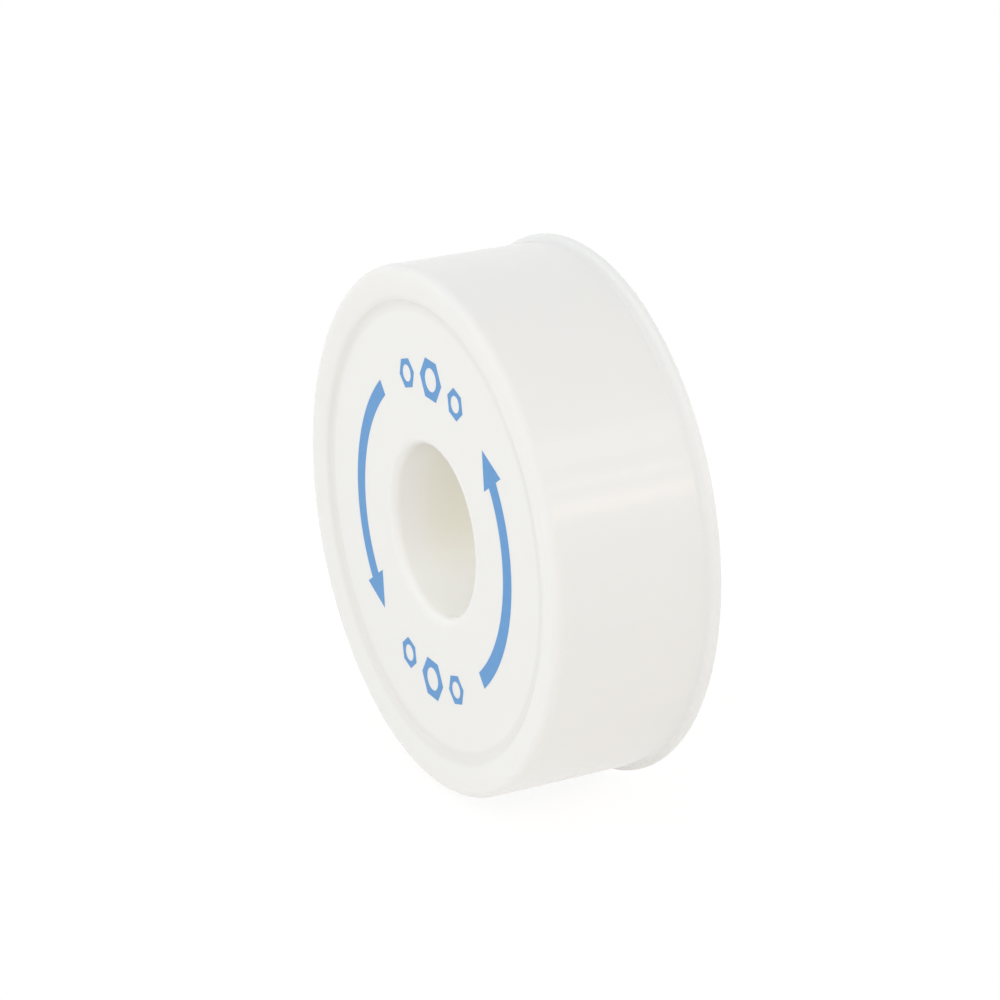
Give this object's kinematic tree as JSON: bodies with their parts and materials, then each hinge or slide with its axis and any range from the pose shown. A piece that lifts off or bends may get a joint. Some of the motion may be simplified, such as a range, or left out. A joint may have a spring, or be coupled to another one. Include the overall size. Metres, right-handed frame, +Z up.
{
  "type": "thread seal tape roll",
  "caption": "Roll of thread seal tape in a round two-part white plastic case: a flanged spool carries the wound tape, and a cup-shaped cover with a flared mouth pulls off along the axis.",
  "frame": {"origin": "on the surface that the roll stands on, midway between the back of the flange and the front of the rim, under the axis", "axes": "+Z up; the roll's axis lies along Y, with the cover's face looking along -Y and the flange at the +Y end"},
  "size_m": [0.0738, 0.0238, 0.0738],
  "materials": {
    "cover_plastic": "satin white polypropylene",
    "spool_plastic": "slightly translucent white polypropylene",
    "tape": "matte unsintered film"
  },
  "bodies": {
    "spool": {"spool": "spool_plastic"},
    "cover": {"cover": "cover_plastic"},
    "tape": {"tape_roll": "tape"}
  },
  "joints": [
    {"name": "cover_pull", "type": "slide", "parent": "spool", "child": "cover", "axis": [0, -1, 0], "range_m": [0, 0.03]},
    {"name": "tape_turn", "type": "hinge", "parent": "spool", "child": "tape", "pos_m": [0, 0, 0.03688], "axis": [0, -1, 0], "continuous": true}
  ]
}
